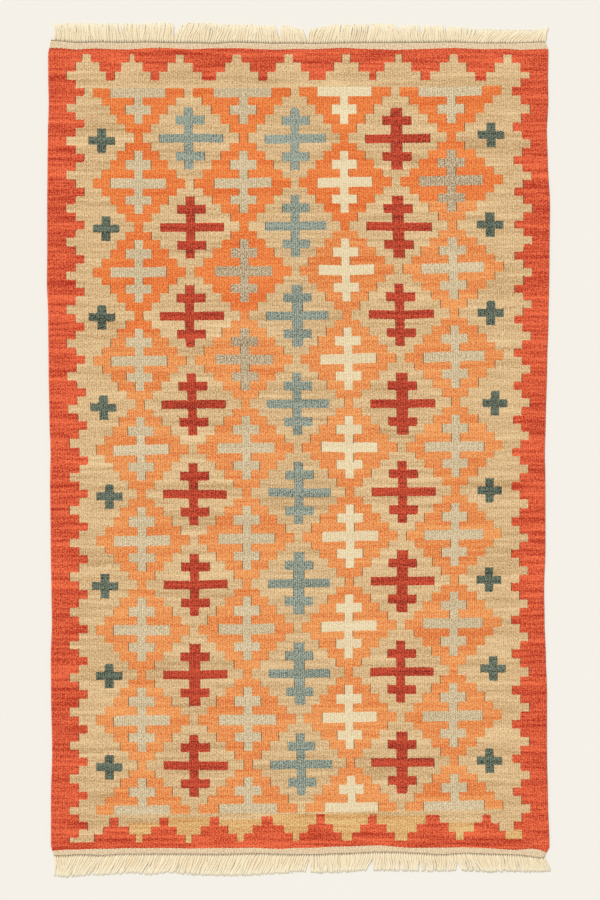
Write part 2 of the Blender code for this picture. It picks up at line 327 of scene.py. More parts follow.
def new_material(name, roughness, specular=0.25, sheen=0.0):
    """A node material, its tree and its shader, which is joined to the output."""
    material = bpy.data.materials.new(name)
    material.use_nodes = True
    tree = material.node_tree
    tree.nodes.clear()
    finish = {"Roughness": roughness, "Specular IOR Level": specular, "Sheen Weight": sheen}
    shader = add(tree, "ShaderNodeBsdfPrincipled", finish)
    add(tree, "ShaderNodeOutputMaterial", {"Surface": shader})
    return material, tree, shader


def fill_ramp(ramp, colours):
    """Give a colour ramp one flat step for each dye."""
    ramp.interpolation = "CONSTANT"
    ramp.elements.remove(ramp.elements[1])
    for i, shade in enumerate(colours):
        stop = ramp.elements[0] if i == 0 else ramp.elements.new(i / len(colours))
        stop.position = i / len(colours)
        stop.color = (*shade, 1.0)


# The wool's unevenness: how often each changes from rib to rib and from weft to weft, its detail
# and its layer of the noise. A streak is one to three wefts high and some 20 ribs long. A fleck is
# about one rib by one weft. The grain is coarser than wool fibres, which are too fine to show.
UNEVENNESS = {
    "streak": (0.055, 0.62, 2.0, 0.0),
    "bands": (0.018, 0.22, 1.0, 7.0),
    "fleck": (0.85, 1.1, 1.0, 13.0),
    "grain": (1.7, 2.8, 1.0, 29.0),
}


def weave_material():
    """Weft-faced wool tapestry: matt, with ribs along the warps, its wefts streaked and heathered,
    and painted shade in the grooves between ribs and between wefts.
    """
    sizes = bpy.context.scene.kilim_sizes
    painted_slit_shadow = (*bpy.context.scene.kilim_colours.slit, 1.0)
    material, tree, shader = new_material("wool_tapestry_weave", 0.92, sheen=0.12)
    shader.inputs["Sheen Roughness"].default_value = 0.6
    split = add(tree, "ShaderNodeSeparateXYZ", [add(tree, "ShaderNodeUVMap", uv_map="weave")])
    parts = {"rib": split.outputs["X"]}
    for name in ("dye", "tone", "slit"):
        parts[name] = add(tree, "ShaderNodeAttribute", attribute_name=name).outputs["Fac"]
    for name, shades in (
        ("deep", [linear(dye[0]) for dye in DYES.values()]),
        ("pale", [linear(dye[1]) for dye in DYES.values()]),
        ("traits", [dye[2:] for dye in DYES.values()]),
    ):
        parts[name] = add(tree, "ShaderNodeValToRGB", [parts["dye"]])
        fill_ramp(parts[name].color_ramp, shades)
    traits = add(tree, "ShaderNodeSeparateColor", [parts["traits"]])
    parts["streaked"], parts["grainy"], parts["groove_shaded"] = traits.outputs

    rows = add(tree, "ShaderNodeMath", (split.outputs["Y"], sizes.weft_pitch), operation="DIVIDE")
    place = add(tree, "ShaderNodeCombineXYZ", (parts["rib"], rows))
    for name, (by_rib, by_weft, detail, layer) in UNEVENNESS.items():
        scale = {"Vector": place, "Location": (0.0, 0.0, layer), "Scale": (by_rib, by_weft, 1.0)}
        spot = add(tree, "ShaderNodeMapping", scale)
        noise = add(tree, "ShaderNodeTexNoise", {"Vector": spot, "Scale": 1.0, "Detail": detail})
        parts[name] = add(tree, "ShaderNodeMath", (noise, 0.5), operation="SUBTRACT")

    # Wefts are rows of beads, set off by half a pitch on every second rib, and coarser than real,
    # so that they show. Each line is a name, an operation and what it takes: names or numbers.
    parts["rows"] = rows
    for name, operation, *takes in (
        ("whole_rib", "FLOOR", "rib"),
        ("odd", "MODULO", "whole_rib", 2.0),
        ("shifted", "MULTIPLY_ADD", "odd", 0.5, "rows"),
        ("weft_turn", "MULTIPLY", "shifted", 2 * math.pi),
        ("bead", "COSINE", "weft_turn"),
        ("rib_turn", "MULTIPLY", "rib", 2 * math.pi),
        ("groove", "COSINE", "rib_turn"),
        ("streaks", "MULTIPLY_ADD", "bands", 0.7, "streak"),
        ("streaks", "MULTIPLY", "streaks", "streaked"),
        ("flecks", "MULTIPLY_ADD", "grain", 2.6, "fleck"),
        ("flecks", "MULTIPLY", "flecks", "grainy"),
        # Painted shade: the colour is darker in the grooves at the rib lines and, less, between the
        # wefts' beads
        ("painted_groove_shade", "MULTIPLY_ADD", "bead", -0.2, "groove"),
        ("painted_groove_shade", "MULTIPLY", "painted_groove_shade", "groove_shaded"),
        ("share", "ADD", "tone", 0.5),
        ("share", "MULTIPLY_ADD", "streaks", 1.5, "share"),
        ("share", "MULTIPLY_ADD", "flecks", 1.35, "share"),
        ("share", "MULTIPLY_ADD", "painted_groove_shade", -0.24, "share"),
        # Painted shadow in the slits, darker where a slit is more open
        ("slit_shadow_share", "POWER", "slit", 2.0),
        ("height", "MULTIPLY", "bead", 0.25),
        ("height", "MULTIPLY_ADD", "groove", -0.5, "height"),
        ("height", "MULTIPLY_ADD", "fleck", 0.6, "height"),
    ):
        takes = [parts.get(take, take) for take in takes]
        parts[name] = add(tree, "ShaderNodeMath", takes, operation=operation)
    parts["share"] = add(tree, "ShaderNodeClamp", [parts["share"]])
    shades = {"Factor": parts["share"], 6: parts["deep"], 7: parts["pale"]}
    wool = add(tree, "ShaderNodeMix", shades, data_type="RGBA").outputs[2]
    # The slits are mixed toward the painted slit shadow
    shades = {"Factor": parts["slit_shadow_share"], 6: wool, 7: painted_slit_shadow}
    wool = add(tree, "ShaderNodeMix", shades, data_type="RGBA").outputs[2]
    tree.links.new(wool, shader.inputs["Base Color"])
    relief = {"Height": parts["height"], "Distance": 0.25 * MM, "Strength": 0.7}
    tree.links.new(add(tree, "ShaderNodeBump", relief).outputs[0], shader.inputs["Normal"])
    return material


def yarn_material(name, deep, pale, ply_pitch):
    """Plied wool yarn: matt, with a slanted groove between its plies that is bumped and darkened by
    painted shade, and a tone of its own for each length.
    """
    material, tree, shader = new_material(name, 0.9, sheen=0.6)
    split = add(tree, "ShaderNodeSeparateXYZ", [add(tree, "ShaderNodeUVMap", uv_map="ply")])
    place = add(tree, "ShaderNodeTexCoord").outputs["Object"]
    parts = {
        "around": split.outputs["X"],
        "along": split.outputs["Y"],
        "tone": add(tree, "ShaderNodeAttribute", attribute_name="tone").outputs["Fac"],
        # Fuzz in tufts some 4 mm across, coarser than real, so that it shows
        "fuzz": add(tree, "ShaderNodeTexNoise", {"Vector": place, "Scale": 260.0, "Detail": 2.0}),
    }
    for part, operation, *takes in (
        ("turns", "MULTIPLY_ADD", "along", 1.0 / ply_pitch, "around"),
        ("turns", "MULTIPLY", "turns", 4 * math.pi),
        ("groove", "SINE", "turns"),
        ("share", "ADD", "fuzz", "tone"),
        # Painted shade: darker along the groove between the plies
        ("share", "MULTIPLY_ADD", "groove", 0.12, "share"),
    ):
        takes = [parts.get(take, take) for take in takes]
        parts[part] = add(tree, "ShaderNodeMath", takes, operation=operation)
    share = add(tree, "ShaderNodeClamp", [parts["share"]])
    shades = {"Factor": share, 6: (*deep, 1.0), 7: (*pale, 1.0)}
    shade = add(tree, "ShaderNodeMix", shades, data_type="RGBA").outputs[2]
    tree.links.new(shade, shader.inputs["Base Color"])
    relief = {"Height": parts["groove"], "Distance": 0.12 * MM, "Strength": 0.5}
    tree.links.new(add(tree, "ShaderNodeBump", relief).outputs[0], shader.inputs["Normal"])
    return material

def floor_material():
    """Matt paper: no highlights, so the floor looks even, with the faintest change of shade."""
    material, tree, shader = new_material("matt_paper_floor", 0.95, specular=0.1)
    place = add(tree, "ShaderNodeTexCoord").outputs["Object"]
    grain = add(tree, "ShaderNodeTexNoise", {"Vector": place, "Scale": 2.0, "Detail": 1.0})
    pale = tuple(bpy.context.scene.kilim_colours.floor)
    deep = tuple(0.995 * c for c in pale)
    shades = {"Factor": grain, 6: (*deep, 1.0), 7: (*pale, 1.0)}
    shade = add(tree, "ShaderNodeMix", shades, data_type="RGBA").outputs[2]
    tree.links.new(shade, shader.inputs["Base Color"])
    return material


# --- The cloth ---

# How the CAD's points are told apart: those on the floor, those past the patterned body's ends,
# and those of the sides, far across and not out on the bands. Points closer than a step are one.
ON_FLOOR = 0.1
ENDS_FROM = 6
SIDES_TO = 5
SIDES_FROM = 480
LEAST_STEP = 0.01


def in_order(spots, axis):
    """Points in order along one axis, each once."""
    spots = spots[np.argsort(spots[:, axis])]
    return spots[np.concatenate([[True], np.diff(spots[:, axis]) > LEAST_STEP * MM])]


def read_outline():
    """The edge of the CAD's cloth (m): ends as across and along, sides as along and across."""
    spots = np.array([v.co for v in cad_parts["rug_cloth"].data.vertices])
    spots = spots[spots[:, 2] < ON_FLOOR * MM, :2]
    across, along = spots.T
    head = in_order(spots[along > (HEAD_END + ENDS_FROM) * MM], 0)
    foot = in_order(spots[along < (FOOT_END - ENDS_FROM) * MM], 0)
    inside = (along > (FOOT_END - SIDES_TO) * MM) & (along < (HEAD_END + SIDES_TO) * MM)
    left = in_order(np.vstack([spots[inside & (across < -SIDES_FROM * MM)], head[0], foot[0]]), 1)
    right = in_order(np.vstack([spots[inside & (across > SIDES_FROM * MM)], head[-1], foot[-1]]), 1)
    return {"head": head.T, "foot": foot.T, "left": left.T[::-1], "right": right.T[::-1]}


def rib_places(outline, lines, along):
    """How far across the rug (m) rib lines lie, at places along it. The two arrays go together."""
    knots = [(0, np.interp(along, *outline["left"])), (RIBS, np.interp(along, *outline["right"]))]
    for first, heights, columns in (
        (FIRST_ORANGE, ORANGE_ALONG, ORANGE_ACROSS),
        (FIRST_CAMEL, CAMEL_ALONG, CAMEL_ACROSS),
    ):
        for i, column in enumerate(columns):
            places = np.interp(along / MM, heights[::-1], column[::-1]) * MM
            knots.append((first + COLUMN_REPEAT * i, places))
    for line, course in BORDER_LINES.items():
        knots.append((line, np.interp(along / MM, *zip(*course)) * MM))
    knots.sort(key=lambda knot: knot[0])
    across = knots[0][1].copy()
    for (low, here), (high, there) in zip(knots[:-1], knots[1:]):
        inside = (lines >= low) & (lines <= high)
        share = (lines - low) / (high - low)
        across = np.where(inside, here + share * (there - here), across)
    return across


def row_edges():
    """The heights (mm) where the pattern rows meet, for every rib: an array of ribs by ROWS + 2."""
    rib = np.arange(RIBS) + 0.5
    middles = []
    for fifth, heights in enumerate(FIFTH_ROWS):
        first = FIRST_CAMEL if fifth % 2 else FIRST_ORANGE
        columns = [first + COLUMN_REPEAT * i for i in range(len(heights))]
        climb = np.interp(rib, (columns[-1], RIGHT_CLIMB_END), (0.0, RIGHT_CLIMB))
        middles.append(np.interp(rib, columns, heights) + climb)
    edges = [middles[0] + FIRST_ROW_HALF]
    for fifth in range(len(FIFTH_ROWS) - 1):
        for share in ROW_SHARES:
            edges.append(middles[fifth] + share * (middles[fifth + 1] - middles[fifth]))
    edges.append(middles[-1] - LAST_ROW_HALF)
    return np.array(edges).T


SCALLOP = 0.35
FINE_WAVE = (0.55, 9)  # its size, and the ribs from one knot of it to the next
END_WAVE = (1.0, 13)


class Chart:
    """What the weaver works from: for every rib, its dyes from head to foot."""

    FINE = 0.25  # from one entry of a rib to the next
    TOP = 830.0

    def __init__(self, rng):
        self.rng = rng
        count = round(2 * self.TOP / self.FINE)
        self.dyes = np.full((RIBS, count), DYE_NAMES.index("band"), dtype=np.uint8)
        # A weft turns round the outermost warp of its area, so edges between rows are scalloped.
        self.scallop = np.where(np.arange(RIBS) % 2, SCALLOP, -SCALLOP)
        self.fine_wave = self.smooth_wave(*FINE_WAVE)

    def smooth_wave(self, size, spacing):
        """A gentle random wave across the ribs."""
        knots = np.arange(0, RIBS + spacing, spacing)
        values = self.rng.uniform(-size, size, len(knots))
        return np.interp(np.arange(RIBS), knots, values)

    def index(self, height):
        """The place of a height in a rib's column of the chart."""
        return int(round((self.TOP - height) / self.FINE))

    def paint(self, ribs, top, bottom, dye):
        """Weave one area: some ribs, from one height (or one for each rib) down to another."""
        tops, bottoms = np.broadcast_to(top, RIBS), np.broadcast_to(bottom, RIBS)
        for rib in ribs:
            wander = self.scallop[rib] + self.fine_wave[rib]
            first, last = self.index(tops[rib] + wander), self.index(bottoms[rib] + wander)
            self.dyes[rib, first:last] = DYE_NAMES.index(dye)


def chart_diamonds(chart, edges):
    """Stepped orange diamonds, joined into one lattice by stems that are one step wide."""
    for column in range(4):
        middle = FIRST_ORANGE + COLUMN_REPEAT * column
        to_left = OUTER_STEPS[0] if column == 0 else STEPS
        to_right = OUTER_STEPS[1] if column == 3 else STEPS
        steps = {}
        for step in range(5, -1, -1):
            for rib in range(middle - to_left[step], middle + to_right[step]):
                steps[rib] = step
        for rib, step in steps.items():
            for row in range(0, ROWS + 1, 10):
                first, last = max(row - 5 + step, 0), min(row + 5 - step, ROWS)
                top, bottom = edges[rib, first], edges[rib, last + 1]
                change = min(max(PALER_BELOW[column], bottom), top)
                chart.paint([rib], top, change, "bright_orange")
                chart.paint([rib], change, bottom, "orange")


def chart_comb(chart, middle, comb, dye, heights, slant):
    """One comb: its upright, then its bars. The heights are those of its seven rows' edges."""
    for part, rows in (("upright", [(0, 7)]), ("short", [(1, 2), (5, 6)]), ("long", [(3, 4)])):
        left, right = comb[part]
        for rib in range(middle - left, middle + right):
            share = (rib + 0.5 - middle) / COMB_HALF
            shift = slant[0] * share + slant[1] * share * share if part == "long" else 0.0
            for first, last in rows:
                top, bottom = heights[rib, first], heights[rib, last]
                if top > bottom:
                    chart.paint([rib], top + shift, bottom + shift, dye)


def draw_slant(chart):
    """How far (mm) the long bar of a comb tilts and bows: no two are woven alike."""
    return chart.rng.uniform(-COMB_TILT, COMB_TILT), chart.rng.uniform(-COMB_BOW, COMB_BOW)


def chart_light_combs(chart, edges):
    """The pale combs, one in each orange diamond; the first and last rows' are cut in half."""
    for column in range(4):
        middle = FIRST_ORANGE + COLUMN_REPEAT * column
        for row in range(0, ROWS + 1, 10):
            dye = "ivory" if column == 2 else "grey_beige"
            if (column, row) in ((1, 20), (1, 30), (3, 10)):
                dye = "mottled"
            comb = WIDE_COMB if column == 3 else LIGHT_COMB
            slant = draw_slant(chart)
            if row in (0, ROWS):
                slant = (0.0, 0.0)
            heights = edges[:, np.clip(row + np.arange(-3, 5), 0, ROWS + 1)]
            chart_comb(chart, middle, comb, dye, heights, slant)


def chart_coloured_combs(chart):
    """The red and blue-grey combs, one in each camel diamond."""
    for column in range(3):
        middle = FIRST_CAMEL + COLUMN_REPEAT * column
        for row, heights in enumerate(FIFTH_ROWS[1::2]):
            height = heights[column]
            dye = "blue_grey" if column == 1 or (column == 0 and row == 0) else "motif_red"
            slant = draw_slant(chart)
            comb = dict(COLOURED_COMB, upright=(2, chart.rng.choice(UPRIGHT_RIGHTS)))
            edges = [height + h for h in COMB_HEIGHTS[::-1]] + [height - h for h in COMB_HEIGHTS]
            chart_comb(chart, middle, comb, dye, np.tile(edges, (RIBS, 1)), slant)


def chart_crosses(chart):
    """The small dark crosses down both sides."""
    for middle, height in CROSSES:
        for reach, half in ((CROSS_REACH, CROSS_ARM_HALF), (CROSS_WAIST, CROSS_HALF)):
            ribs = range(middle - reach, middle + reach)
            chart.paint(ribs, height + half, height - half, "teal")


def step_levels(peaks):
    """The step of a border that every rib is on: 0 at the tip of a peak, 3 between two peaks."""
    levels = np.full(RIBS, 3)
    for peak in peaks:
        for step in (2, 1, 0):
            levels[peak[2 * step] : peak[2 * step + 1]] = step
    return levels


def chart_ends(chart, ends):
    """The stepped borders across the head and the foot."""
    wander = chart.smooth_wave(*END_WAVE)
    rise = np.interp(np.arange(RIBS), *zip(*FOOT_RISE))
    head_level, foot_level = step_levels(HEAD_PEAKS), step_levels(FOOT_PEAKS)
    mustard = np.full(RIBS, FOOT_END)
    for first, height in MUSTARD:
        mustard[first:] = height
    for rib in range(RIBS):
        chart.paint([rib], ends[0], HEAD_STEPS[head_level[rib]] + wander, "red")
        bottom = FOOT_STEPS[foot_level[rib]] + rise[rib]
        if mustard[rib] > bottom:
            chart.paint([rib], mustard, bottom + wander, "mustard")
        chart.paint([rib], bottom + wander, ends[1], "red")


def chart_sides(chart, ends):
    """The stepped borders down both sides."""
    ribs = np.arange(RIBS)
    for teeth, ribs_in in ((LEFT_TEETH, ribs), (RIGHT_TEETH, ribs[::-1])):
        chart.paint(ribs_in[: SIDE_STEPS[0]], ends[0], ends[1], "red")
        for low, high, reach in zip(SIDE_STEPS[:-1], SIDE_STEPS[1:], TOOTH_SHARES):
            for i, tooth in enumerate(teeth):
                above = teeth[i - 1] - tooth if i else TOOTH_PITCH
                below = tooth - teeth[i + 1] if i + 1 < len(teeth) else TOOTH_PITCH
                top = np.minimum(tooth + reach * above, ends[0])
                bottom = np.maximum(tooth - reach * below, ends[1])
                for rib in ribs_in[low:high]:
                    if top[rib] > bottom[rib]:
                        chart.paint([rib], top, bottom, "red")


def draw_chart(outline, rng):
    """The whole pattern."""
    chart = Chart(rng)
    ribs = np.arange(RIBS) + 0.5
    ends = []
    for way, end, wave in ((1, HEAD_END, HEAD_WAVE), (-1, FOOT_END, FOOT_WAVE)):
        across = rib_places(outline, ribs, np.full(RIBS, end * MM)) / MM
        ends.append(end + way * np.interp(across, *zip(*wave)))
    edges = row_edges()
    chart.paint(range(RIBS), ends[0], ends[1], "camel")  # the ground
    chart_diamonds(chart, edges)
    chart_light_combs(chart, edges)
    chart_coloured_combs(chart)
    chart_crosses(chart)
    chart_ends(chart, ends)
    chart_sides(chart, ends)
    return chart


LEAST_RUN = 3.0  # a shorter run of one dye joins the one above it
SAME_EDGE = 3.6  # edges on neighbouring ribs that are closer than this share their mesh row
SAME_ROW = 0.95  # if it lies this near, counted in mesh rows
ROLL_ROWS = 2  # mesh rows at each end that roll the cloth down to its rim


def runs_of(chart, rib, top, bottom):
    """The colour areas down one rib: their lower edges (mm) and their dyes, from head to foot."""
    column = chart.dyes[rib]
    changes = np.flatnonzero(np.diff(column)) + 1
    edges, kept = [], [column[0]]
    last = top
    for height, dye in zip(Chart.TOP - changes * Chart.FINE, column[changes]):
        if last - height < LEAST_RUN:
            if edges:
                kept[-1] = dye
                if kept[-2] == dye:
                    kept.pop()
                    edges.pop()
        elif height - bottom >= LEAST_RUN and dye != kept[-1]:
            edges.append(height)
            kept.append(dye)
            last = height
    return edges, kept


def weave_rows(chart, tops, bottoms):
    """Heights (mm) of the mesh rows on every rib, set to its colour edges, and each face's dye."""
    heights = np.zeros((RIBS, MESH_ROWS + 1))
    dyes = np.zeros((RIBS, MESH_ROWS), dtype=int)
    before = []
    for rib in range(RIBS):
        top, bottom = tops[rib], bottoms[rib]
        edges, kept = runs_of(chart, rib, top, bottom)
        rows = []
        for edge in edges:
            ideal = ROLL_ROWS + (top - edge) / (top - bottom) * (MESH_ROWS - 2 * ROLL_ROWS)
            row = round(ideal)
            near = [r for e, r in before if abs(e - edge) < SAME_EDGE]
            if near and abs(near[0] - ideal) < SAME_ROW:
                row = near[0]
            if rows and row <= rows[-1]:
                row = rows[-1] + 1
            rows.append(max(row, ROLL_ROWS + 1))
        for i in range(len(rows)):
            rows[-1 - i] = min(rows[-1 - i], MESH_ROWS - ROLL_ROWS - 1 - i)
        before = list(zip(edges, rows))
        rolled = np.arange(ROLL_ROWS + 1)
        knots = [*rolled, *rows, *(MESH_ROWS - rolled[::-1])]
        rolls = END_ROLL * rolled
        places = [*(top - rolls), *edges, *(bottom + rolls[::-1])]
        heights[rib] = np.interp(np.arange(MESH_ROWS + 1), knots, places)
        for first, last, dye in zip([0, *rows], [*rows, MESH_ROWS], kept):
            dyes[rib, first:last] = dye
    return heights, dyes


ABRASH = {"red": 0.07, "camel": 0.048, "orange": 0.065, "bright_orange": 0.055, "teal": 0.06}
LEAST_ABRASH = 0.04
WOOL_LOTS = (7, 46)  # mm of weaving between one lot of wool and the next
ABRASH_AREAS = 5  # side by side
PALE_BLUE_END = 330  # mm from the top of the chart; the first combs' blue-grey is paler
PALE_BLUE = 0.1


def abrash(dyes, heights, rng):
    """A tone for every face: wool dyed in small lots changes along the rug, area by area."""
    count = round(2 * Chart.TOP)
    table = np.zeros((len(DYE_NAMES), ABRASH_AREAS, count))
    for dye, name in enumerate(DYE_NAMES):
        for area in range(ABRASH_AREAS):
            at = 0
            while at < count:
                lot = int(rng.integers(*WOOL_LOTS))
                table[dye, area, at : at + lot] = rng.normal(0.0, ABRASH.get(name, LEAST_ABRASH))
                at += lot
    table[DYE_NAMES.index("band")] = 0.0
    table[DYE_NAMES.index("blue_grey"), :, :PALE_BLUE_END] += PALE_BLUE
    middle = (heights[:, :-1] + heights[:, 1:]) / 2
    at = np.clip((Chart.TOP - middle).astype(int), 0, count - 1)
    # An area never changes tone at a rib line inside it.
    rib = np.arange(RIBS)[:, None]
    by_orange = np.clip((rib - FIRST_ORANGE + COLUMN_REPEAT // 2) // COLUMN_REPEAT, 0, 3)
    by_camel = np.clip((rib - FIRST_ORANGE) // COLUMN_REPEAT + 1, 0, 4)
    areas = np.zeros(dyes.shape, dtype=int)
    for names, areas_of in (
        (("orange", "bright_orange", "grey_beige", "mottled", "ivory"), by_orange),
        (("camel", "motif_red", "blue_grey", "teal"), by_camel),
    ):
        for name in names:
            areas = np.where(dyes == DYE_NAMES.index(name), areas_of, areas)
    return table[dyes, areas, at]


# How open a slit may be, which sets how dark its painted shadow is, and the chance of each
SLIT_OPENINGS = (0.35, 0.6, 0.95)
SLIT_CHANCES = (0.45, 0.3, 0.25)


def face_of_cloth(outline, heights, change, rib_height):
    """The points (m) of the cloth's face: a valley at each whole rib, and a ridge between two."""
    along = np.zeros((2 * RIBS + 1, MESH_ROWS + 1))
    along[1::2] = heights
    along[2:-1:2] = (heights[:-1] + heights[1:]) / 2
    along[0], along[-1] = heights[0], heights[-1]
    along *= MM
    lines = np.broadcast_to(np.arange(2 * RIBS + 1)[:, None] / 2, along.shape)
    up = np.full(along.shape, VALLEY_HEIGHT * MM)
    up[1::2] = rib_height
    slit = np.zeros((RIBS + 1, MESH_ROWS + 1), dtype=bool)
    slit[1:-1, 1:-1] = change[:, 1:] & change[:, :-1]
    up[::2][slit] = SLIT_HEIGHT * MM
    up[[0, -1]] = up[:, [0, -1]] = RIM_HEIGHT * MM
    return np.stack([rib_places(outline, lines, along), along, up], axis=-1)


def slit_corners(dyes, change, rng):
    """How open the slit is at each face's corners, which sets how deep its painted shadow is. A
    slit runs from one colour edge to the next.
    """
    starts = change.copy()
    same = dyes[:, 1:] == dyes[:, :-1]
    starts[:, 1:] &= ~(change[:, :-1] & same[:-1] & same[1:])
    openings = rng.choice(SLIT_OPENINGS, size=starts.sum(), p=SLIT_CHANCES)
    strength = np.zeros((RIBS + 1, MESH_ROWS))
    strength[1:-1] = np.where(change, openings[np.cumsum(starts).reshape(starts.shape) - 1], 0.0)
    corner = np.zeros((2 * RIBS, MESH_ROWS, 4))
    corner[::2, :, :2] = strength[:-1, :, None]
    corner[1::2, :, 2:] = strength[1:, :, None]
    return corner.reshape(-1)


def close_below(spots, dyes, tones):
    """The rim's wall and the underside: points, rib lines, faces, kinds, dyes and tones."""
    last_line, last_row = spots.shape[0] - 1, spots.shape[1] - 1
    count = spots.shape[0] * spots.shape[1]
    # The rim, once round as seen from above
    rim = [(line, 0) for line in range(last_line)]
    rim += [(last_line, row) for row in range(last_row)]
    rim += [(line, last_row) for line in range(last_line, 0, -1)]
    rim += [(0, row) for row in range(last_row, 0, -1)]
    cell_lines = [2 * line for line in UNDERSIDE_LINES]
    cell_rows = list(range(0, MESH_ROWS + 1, UNDERSIDE_ROWS))
    inner = [(line, row) for line in cell_lines[1:-1] for row in cell_rows[1:-1]]
    under, low_spots = {}, []
    for line, row in rim + inner:
        x, y, _ = spots[line, row]
        x += RIM_INSET * MM * ((line == 0) - (line == last_line))
        y += RIM_INSET * MM * ((row == last_row) - (row == 0))
        under[(line, row)] = count + len(low_spots)
        low_spots.append((x, y, 0.0))
    faces, kinds, places = [], [], []
    for here, there in zip(rim, rim[1:] + rim[:1]):
        upper = [line * (last_row + 1) + row for line, row in (here, there)]
        faces.append([*upper, under[there], under[here]])
        kinds.append("wall")
        line = min(min(here[0], there[0]) // 2, RIBS - 1)
        places.append((line, min(here[1], there[1], MESH_ROWS - 1)))
    for a, b in zip(cell_lines[:-1], cell_lines[1:]):
        for c, d in zip(cell_rows[:-1], cell_rows[1:]):
            walk = [(line, c) for line in (range(a, b) if c == 0 else [a])]
            walk += [(b, row) for row in (range(c, d) if b == last_line else [c])]
            walk += [(line, d) for line in (range(b, a, -1) if d == last_row else [b])]
            walk += [(a, row) for row in (range(d, c, -1) if a == 0 else [d])]
            faces.append([under[key] for key in walk])
            kinds.append("underside")
            places.append(((a + b) // 4, (c + d) // 2))
    at = tuple(np.array(places).T)
    lines = [line / 2 for line, _ in under]
    return low_spots, lines, faces, kinds, dyes[at], tones[at]


def build_cloth(sizes):
    """The woven cloth: a ribbed face, its rows set to the colour edges, and a plainer underside."""
    rng = np.random.default_rng(SEED)
    outline = read_outline()
    ribs = np.arange(RIBS) + 0.5
    ends = []
    for end, along in (("head", HEAD_END + BAND_WIDTH), ("foot", FOOT_END - BAND_WIDTH)):
        across = rib_places(outline, ribs, np.full(RIBS, along * MM))
        ends.append(np.interp(across, *outline[end]) / MM)
    heights, dyes = weave_rows(draw_chart(outline, rng), *ends)
    tones = abrash(dyes, heights, rng)
    change = dyes[:-1] != dyes[1:]
    spots = face_of_cloth(outline, heights, change, sizes.rib_height)
    slits = slit_corners(dyes, change, rng)

    count_lines, count_rows = spots.shape[:2]
    ids = np.arange(count_lines * count_rows).reshape(count_lines, count_rows)
    corners = [ids[:-1, :-1], ids[:-1, 1:], ids[1:, 1:], ids[1:, :-1]]
    faces = np.stack(corners, axis=-1).reshape(-1, 4).tolist()
    kinds = ["face"] * len(faces)
    low_spots, low_lines, low_faces, low_kinds, *low_looks = close_below(spots, dyes, tones)
    spots = np.vstack([spots.reshape(-1, 3), low_spots])
    lines = np.concatenate([np.repeat(np.arange(count_lines) / 2, count_rows), low_lines])
    faces += low_faces
    kinds = np.array(kinds + low_kinds)
    dyes, tones = (
        np.concatenate([np.repeat(upper, 2, axis=0).reshape(-1), lower])
        for upper, lower in zip((dyes, tones), low_looks)
    )

    mesh = bpy.data.meshes.new("kilim_cloth")
    mesh.from_pydata(spots.tolist(), [], faces)
    loops = np.zeros(len(mesh.loops), dtype=int)
    mesh.loops.foreach_get("vertex_index", loops)
    weave = mesh.uv_layers.new(name="weave")
    places = np.stack([lines[loops], spots[loops, 1]], axis=-1)
    weave.data.foreach_set("uv", places.astype(np.float32).reshape(-1))
    lay_out_bake_map(mesh, spots[loops], np.repeat(kinds, [len(face) for face in faces]))
    slits = np.concatenate([slits, np.zeros(len(loops) - len(slits))])
    for name, numbers, domain in (
        ("dye", (dyes + 0.5) / len(DYE_NAMES), "FACE"),
        ("tone", tones, "FACE"),
        ("slit", slits, "CORNER"),
    ):
        attribute = mesh.attributes.new(name, "FLOAT", domain)
        attribute.data.foreach_set("value", numbers.astype(np.float32))
    mesh.polygons.foreach_set("use_smooth", kinds != "underside")
    mesh.update()
    return mesh


# A map for baking: the face of the cloth in one wide panel, its underside in a narrow one beside it
FACE_PANEL = (0.012, 0.85)
UNDERSIDE_PANEL = (0.87, 0.992)
WALL_SPREAD = 0.006
MAP_MARGIN = 0.012
EDGE_SHARE = 0.49  # out from the middle; a corner past it is on an edge


def lay_out_bake_map(mesh, places, kinds):
    """A flat map of the cloth, for whoever bakes it, from the place and the kind at each corner."""
    low, high = places[:, :2].min(axis=0), places[:, :2].max(axis=0)
    share = (places[:, :2] - low) / (high - low)
    flat = np.zeros((len(places), 2))
    flat[:, 0] = FACE_PANEL[0] + share[:, 0] * (FACE_PANEL[1] - FACE_PANEL[0])
    flat[:, 1] = MAP_MARGIN + share[:, 1] * (1 - 2 * MAP_MARGIN)
    wall = (kinds == "wall") & (places[:, 2] < 0.5 * RIM_HEIGHT * MM)
    outwards = np.sign(share - 0.5) * (np.abs(share - 0.5) > EDGE_SHARE)
    flat[wall] += WALL_SPREAD * outwards[wall]
    below = kinds == "underside"
    left, right = UNDERSIDE_PANEL
    flat[below, 0] = left + share[below, 0] * (right - left)
    layer = mesh.uv_layers.new(name="OFBake")
    layer.data.foreach_set("uv", flat.astype(np.float32).reshape(-1))


# --- Yarns ---


TWINE_PLY_PITCH = 6.0  # along a yarn, for one turn of its plies
WARP_PLY_PITCH = 7.0


